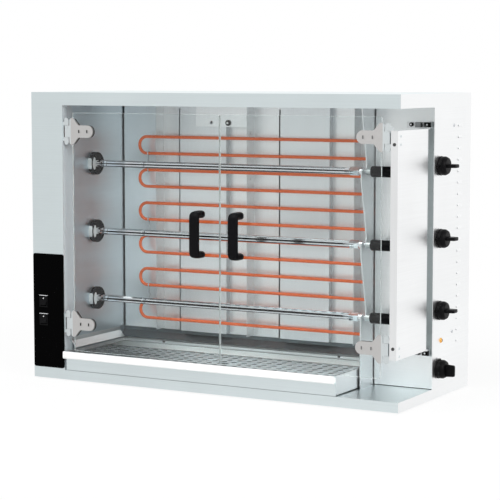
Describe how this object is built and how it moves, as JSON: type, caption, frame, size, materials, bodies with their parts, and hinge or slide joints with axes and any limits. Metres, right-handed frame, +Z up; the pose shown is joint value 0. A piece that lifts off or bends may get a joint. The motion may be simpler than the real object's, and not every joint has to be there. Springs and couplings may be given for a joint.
{
  "type": "electric skewer grill",
  "caption": "Electric skewer grill: stainless casing, glass doors on side hinges, chain-driven spits before tubular elements, side controls and a drip drawer.",
  "frame": {"origin": "middle of the footprint, knobs, door handles and cable gland included, on the floor under the feet", "axes": "+X to the right along the spits towards the controls, -Y to the front with the doors, +Z up"},
  "size_m": [1.1472, 0.506, 0.787],
  "materials": {
    "stainless_satin": "satin stainless sheet",
    "stainless_inner": "bright stainless sheet of the cooking space",
    "zinc_steel": "zinc-plated steel",
    "hinge_steel": "cast stainless hinge, satin",
    "spit_chrome": "bright chromed steel",
    "heater_sheath": "heating tube with an orange-red sheath",
    "door_glass": "clear toughened glass",
    "panel_glass": "black back-painted glass",
    "black_plastic": "black heat-resistant plastic, satin",
    "switch_plastic": "black gloss plastic",
    "ceramic": "off-white glazed insulator",
    "lamp_amber": "amber lens",
    "motor_grey": "grey paint",
    "black_rubber": "black rubber"
  },
  "bodies": {
    "casing": {"base_pan": "stainless_satin", "rubber_feet": "black_rubber", "top_cover": "stainless_satin", "column_front": "stainless_satin", "left_side_panel": "stainless_satin", "back_panel": "stainless_satin", "right_side_panel": "stainless_satin", "recess_wall": "stainless_satin", "left_wall": "stainless_inner", "spit_support_wall": "stainless_satin", "rear_wall": "stainless_inner", "reflector_channels": "stainless_inner", "fat_deflectors": "stainless_inner", "drawer_runners": "zinc_steel", "element_lower": "heater_sheath", "element_middle": "heater_sheath", "element_upper": "heater_sheath", "element_supports": "stainless_inner", "element_terminals": "ceramic", "lamp_plate": "stainless_inner", "oven_lamp": "spit_chrome", "control_panel": "panel_glass", "rocker_housings": "switch_plastic", "pilot_lamp": "lamp_amber", "regulators": "black_plastic", "terminal_block": "ceramic", "cable_gland": "black_plastic", "spindle_bearings": "stainless_inner", "gear_motor": "motor_grey", "drive_chain": "zinc_steel", "guard_brackets": "stainless_satin", "left_hinge_brackets": "hinge_steel", "casing_screws": "stainless_satin"},
    "left_door": {"left_glass": "door_glass", "left_handle": "black_plastic", "left_hinge_leaves": "hinge_steel"},
    "guard": {"side_guard": "stainless_satin", "right_hinge_brackets": "hinge_steel"},
    "right_door": {"right_glass": "door_glass", "right_handle": "black_plastic", "right_hinge_leaves": "hinge_steel"},
    "spit_low": {"drive_socket_lower": "spit_chrome", "spit_rod_lower": "spit_chrome", "spit_handle_lower": "black_plastic"},
    "spit_mid": {"drive_socket_middle": "spit_chrome", "spit_rod_middle": "spit_chrome", "spit_handle_middle": "black_plastic"},
    "spit_top": {"drive_socket_upper": "spit_chrome", "spit_rod_upper": "spit_chrome", "spit_handle_upper": "black_plastic"},
    "motor_shaft": {"motor_sprocket": "zinc_steel"},
    "control_upper": {"knob_upper": "black_plastic"},
    "control_middle": {"knob_middle": "black_plastic"},
    "control_lower": {"knob_lower": "black_plastic"},
    "control_main": {"knob_main": "black_plastic"},
    "motor_switch": {"rocker_motor": "switch_plastic"},
    "lamp_switch": {"rocker_lamp": "switch_plastic"},
    "drawer": {"drip_drawer": "stainless_satin", "drawer_front": "stainless_satin", "perforated_plate": "stainless_inner"}
  },
  "joints": [
    {"name": "left_door_hinge", "type": "hinge", "parent": "casing", "child": "left_door", "pos_m": [-0.4584, -0.207, 0.404], "axis": [0, 0, -1], "range_deg": [0, 90]},
    {"name": "guard_hinge", "type": "hinge", "parent": "casing", "child": "guard", "pos_m": [0.5116, -0.021, 0.404], "axis": [0, 0, 1], "range_deg": [0, 90]},
    {"name": "right_door_hinge", "type": "hinge", "parent": "guard", "child": "right_door", "pos_m": [0.4926, -0.207, 0.404], "axis": [0, 0, 1], "range_deg": [0, 90]},
    {"name": "spit_low_spin", "type": "hinge", "parent": "casing", "child": "spit_low", "pos_m": [-0.0724, -0.065, 0.213], "axis": [1, 0, 0], "continuous": true},
    {"name": "spit_mid_spin", "type": "hinge", "parent": "casing", "child": "spit_mid", "pos_m": [-0.0724, -0.065, 0.401], "axis": [1, 0, 0], "continuous": true},
    {"name": "spit_top_spin", "type": "hinge", "parent": "casing", "child": "spit_top", "pos_m": [-0.0724, -0.065, 0.589], "axis": [1, 0, 0], "continuous": true},
    {"name": "motor_spin", "type": "hinge", "parent": "casing", "child": "motor_shaft", "pos_m": [-0.5124, -0.065, 0.094], "axis": [1, 0, 0], "continuous": true},
    {"name": "upper_regulator_turn", "type": "hinge", "parent": "casing", "child": "control_upper", "pos_m": [0.5376, 0.029, 0.603], "axis": [1, 0, 0], "range_deg": [0, 270]},
    {"name": "middle_regulator_turn", "type": "hinge", "parent": "casing", "child": "control_middle", "pos_m": [0.5376, 0.029, 0.417], "axis": [1, 0, 0], "range_deg": [0, 270]},
    {"name": "lower_regulator_turn", "type": "hinge", "parent": "casing", "child": "control_lower", "pos_m": [0.5376, 0.029, 0.231], "axis": [1, 0, 0], "range_deg": [0, 270]},
    {"name": "main_switch_turn", "type": "hinge", "parent": "casing", "child": "control_main", "pos_m": [0.5376, 0.029, 0.079], "axis": [1, 0, 0], "range_deg": [0, 90]},
    {"name": "motor_switch_rock", "type": "hinge", "parent": "casing", "child": "motor_switch", "pos_m": [-0.5374, -0.216, 0.216], "axis": [1, 0, 0], "range_deg": [0, 14]},
    {"name": "lamp_switch_rock", "type": "hinge", "parent": "casing", "child": "lamp_switch", "pos_m": [-0.5374, -0.216, 0.166], "axis": [1, 0, 0], "range_deg": [0, 14]},
    {"name": "drawer_slide", "type": "slide", "parent": "casing", "child": "drawer", "axis": [0, -1, 0], "range_m": [0, 0.25]}
  ],
  "couplings": [
    {"joint": "spit_mid_spin", "follows": "spit_low_spin", "ratio": 1},
    {"joint": "spit_top_spin", "follows": "spit_low_spin", "ratio": 1},
    {"joint": "motor_spin", "follows": "spit_low_spin", "ratio": 1}
  ]
}
